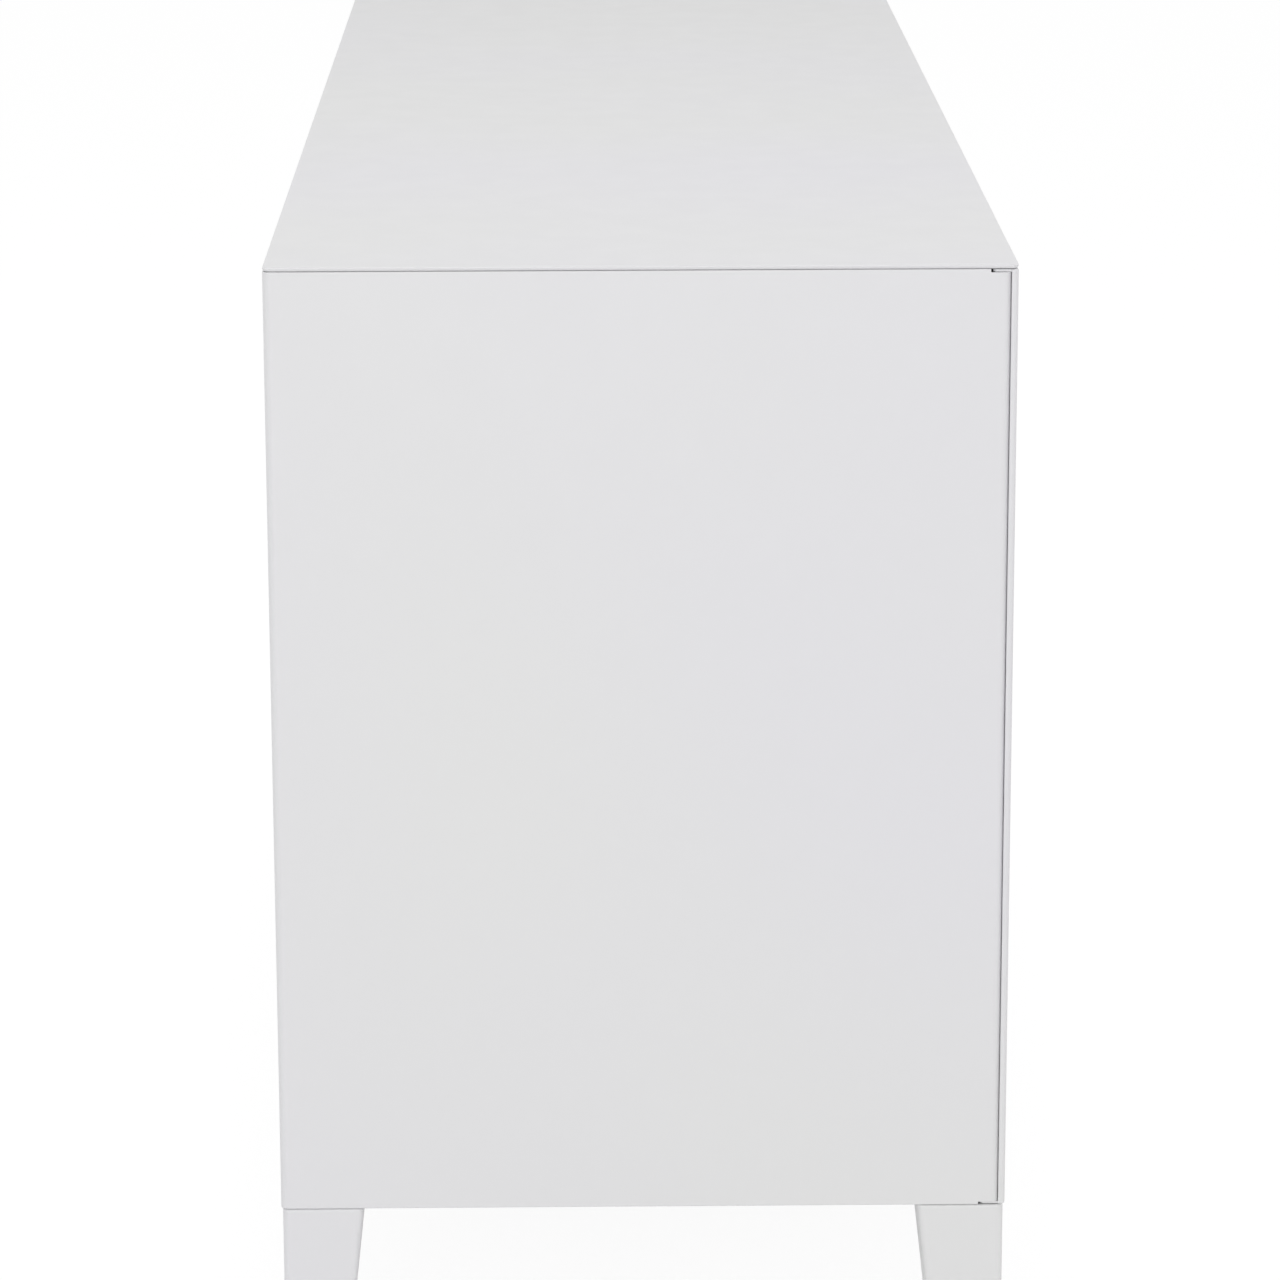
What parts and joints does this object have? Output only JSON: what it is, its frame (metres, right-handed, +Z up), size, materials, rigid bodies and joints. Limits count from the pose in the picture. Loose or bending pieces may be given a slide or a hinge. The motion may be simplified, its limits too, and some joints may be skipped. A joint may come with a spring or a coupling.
{
  "type": "tv stand with doors",
  "caption": "Low sheet-steel television cabinet with hinged doors over shelved bays, on tapered legs with levelling feet.",
  "frame": {"origin": "on the floor, under the middle of the whole cabinet with its knobs", "axes": "+X along the length to the right seen from the doors, +Y from the doors to the back, +Z up"},
  "size_m": [1.19, 0.418, 0.63],
  "materials": {
    "white_paint": "smooth satin white powder coat on sheet steel",
    "zinc_steel": "satin zinc or nickel plated steel",
    "white_plastic": "moulded white nylon",
    "black_plastic": "moulded black plastic"
  },
  "bodies": {
    "cabinet": {"bottom_panel": "white_paint", "centre_back_shelf_pin": "zinc_steel", "centre_divider": "white_paint", "centre_front_shelf_pin": "zinc_steel", "centre_post": "white_paint", "left_back_leg": "white_paint", "left_back_leg_bolt": "zinc_steel", "left_back_panel": "white_paint", "left_back_shelf_clip": "zinc_steel", "left_back_upright": "white_paint", "left_cable_grommet": "black_plastic", "left_front_leg": "white_paint", "left_front_leg_bolt": "zinc_steel", "left_front_shelf_clip": "zinc_steel", "left_front_upright": "white_paint", "left_lower_hinge_block": "white_plastic", "left_magnetic_catch": "white_plastic", "left_outlet_plate": "white_paint", "left_shelf": "white_paint", "left_side_panel": "white_paint", "left_upper_hinge_block": "white_plastic", "right_back_leg": "white_paint", "right_back_leg_bolt": "zinc_steel", "right_back_panel": "white_paint", "right_back_shelf_clip": "zinc_steel", "right_back_upright": "white_paint", "right_cable_grommet": "black_plastic", "right_front_leg": "white_paint", "right_front_leg_bolt": "zinc_steel", "right_front_shelf_clip": "zinc_steel", "right_front_upright": "white_paint", "right_lower_hinge_block": "white_plastic", "right_magnetic_catch": "white_plastic", "right_outlet_plate": "white_paint", "right_shelf": "white_paint", "right_side_panel": "white_paint", "right_upper_hinge_block": "white_plastic", "top_back_rail": "white_paint", "top_front_rail": "white_paint", "top_panel": "white_paint"},
    "left_door": {"left_door_liner": "white_paint", "left_door_skin": "white_paint", "left_lower_pivot_pin": "zinc_steel", "left_strike_plate": "zinc_steel", "left_upper_pivot_pin": "zinc_steel", "left_knob": "zinc_steel", "left_knob_nut": "zinc_steel"},
    "right_door": {"right_door_liner": "white_paint", "right_door_skin": "white_paint", "right_lower_pivot_pin": "zinc_steel", "right_strike_plate": "zinc_steel", "right_upper_pivot_pin": "zinc_steel", "latch_housing": "zinc_steel"},
    "latch": {"latch_knob": "zinc_steel", "latch_cam": "zinc_steel", "latch_cam_screw": "zinc_steel"},
    "left_front_foot": {"left_front_foot": "black_plastic"},
    "left_back_foot": {"left_back_foot": "black_plastic"},
    "right_front_foot": {"right_front_foot": "black_plastic"},
    "right_back_foot": {"right_back_foot": "black_plastic"}
  },
  "joints": [
    {"name": "left_door_hinge", "type": "hinge", "parent": "cabinet", "child": "left_door", "pos_m": [-0.591, -0.181, 0.366], "axis": [0, 0, -1], "range_deg": [0, 100]},
    {"name": "right_door_hinge", "type": "hinge", "parent": "cabinet", "child": "right_door", "pos_m": [0.591, -0.181, 0.366], "axis": [0, 0, 1], "range_deg": [0, 100]},
    {"name": "latch_turn", "type": "hinge", "parent": "right_door", "child": "latch", "pos_m": [0.045, -0.191, 0.36725], "axis": [0, -1, 0], "range_deg": [0, 90]},
    {"name": "left_front_foot_screw", "type": "slide", "parent": "cabinet", "child": "left_front_foot", "axis": [0, 0, -1], "range_m": [0, 0.012]},
    {"name": "left_back_foot_screw", "type": "slide", "parent": "cabinet", "child": "left_back_foot", "axis": [0, 0, -1], "range_m": [0, 0.012]},
    {"name": "right_front_foot_screw", "type": "slide", "parent": "cabinet", "child": "right_front_foot", "axis": [0, 0, -1], "range_m": [0, 0.012]},
    {"name": "right_back_foot_screw", "type": "slide", "parent": "cabinet", "child": "right_back_foot", "axis": [0, 0, -1], "range_m": [0, 0.012]}
  ]
}
